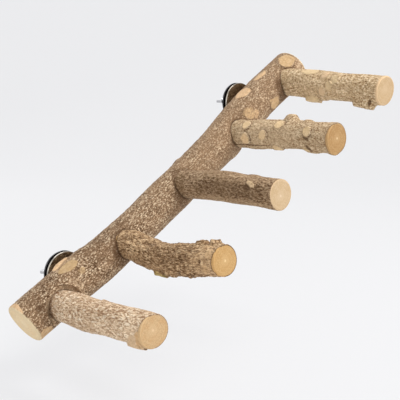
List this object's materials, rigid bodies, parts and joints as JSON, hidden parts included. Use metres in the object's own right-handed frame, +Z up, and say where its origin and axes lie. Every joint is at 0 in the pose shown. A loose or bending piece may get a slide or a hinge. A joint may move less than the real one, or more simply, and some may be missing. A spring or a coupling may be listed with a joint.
{
  "type": "bird perch",
  "caption": "Staircase perch of natural branch pegs on a leaning branch trunk, clamped to a cage wall by studs with washers and wing nuts.",
  "frame": {"origin": "on the lower stud's axis, on the outer face of the lower inner washer, where the cage wires rest", "axes": "+X along the cage wall towards the trunk's upper end, +Y out through the cage wall along the studs, +Z up"},
  "size_m": [0.3479, 0.1814, 0.2388],
  "materials": {
    "trunk_bark": "rough natural bark, sanded pale ends",
    "peg_bark": "rough natural bark with bare knots, sanded pale ends",
    "screw_steel": "yellow zinc plated",
    "bolt_steel": "bright zinc plated",
    "washer_steel": "polished",
    "nut_steel": "bright zinc plated, cast texture"
  },
  "bodies": {
    "perch": {"trunk": "trunk_bark", "peg_1": "peg_bark", "peg_2": "peg_bark", "peg_3": "peg_bark", "peg_4": "peg_bark", "peg_5": "peg_bark", "peg_screw_1": "screw_steel", "peg_screw_2": "screw_steel", "peg_screw_3": "screw_steel", "peg_screw_4": "screw_steel", "peg_screw_5": "screw_steel", "hanger_bolt_lower": "bolt_steel", "hanger_bolt_upper": "bolt_steel", "inner_washer_lower": "washer_steel", "inner_washer_upper": "washer_steel"},
    "lower_outer_washer": {"outer_washer_lower": "washer_steel"},
    "lower_wing_nut": {"wing_nut_lower": "nut_steel"},
    "upper_outer_washer": {"outer_washer_upper": "washer_steel"},
    "upper_wing_nut": {"wing_nut_upper": "nut_steel"}
  },
  "joints": [
    {"name": "lower_washer_slide", "type": "slide", "parent": "perch", "child": "lower_outer_washer", "axis": [0, 1, 0], "range_m": [-0.003, 0.012]},
    {"name": "lower_nut_spin", "type": "hinge", "parent": "lower_outer_washer", "child": "lower_wing_nut", "pos_m": [0, 0, 0], "axis": [0, -1, 0], "range_deg": [-4320, 1080]},
    {"name": "upper_washer_slide", "type": "slide", "parent": "perch", "child": "upper_outer_washer", "axis": [0, 1, 0], "range_m": [-0.003, 0.012]},
    {"name": "upper_nut_spin", "type": "hinge", "parent": "upper_outer_washer", "child": "upper_wing_nut", "pos_m": [0.21576, 0, 0.14247], "axis": [0, -1, 0], "range_deg": [-4320, 1080]}
  ],
  "couplings": [
    {"joint": "lower_washer_slide", "follows": "lower_nut_spin", "m_per_rad": -0.00015915},
    {"joint": "upper_washer_slide", "follows": "upper_nut_spin", "m_per_rad": -0.00015915}
  ]
}
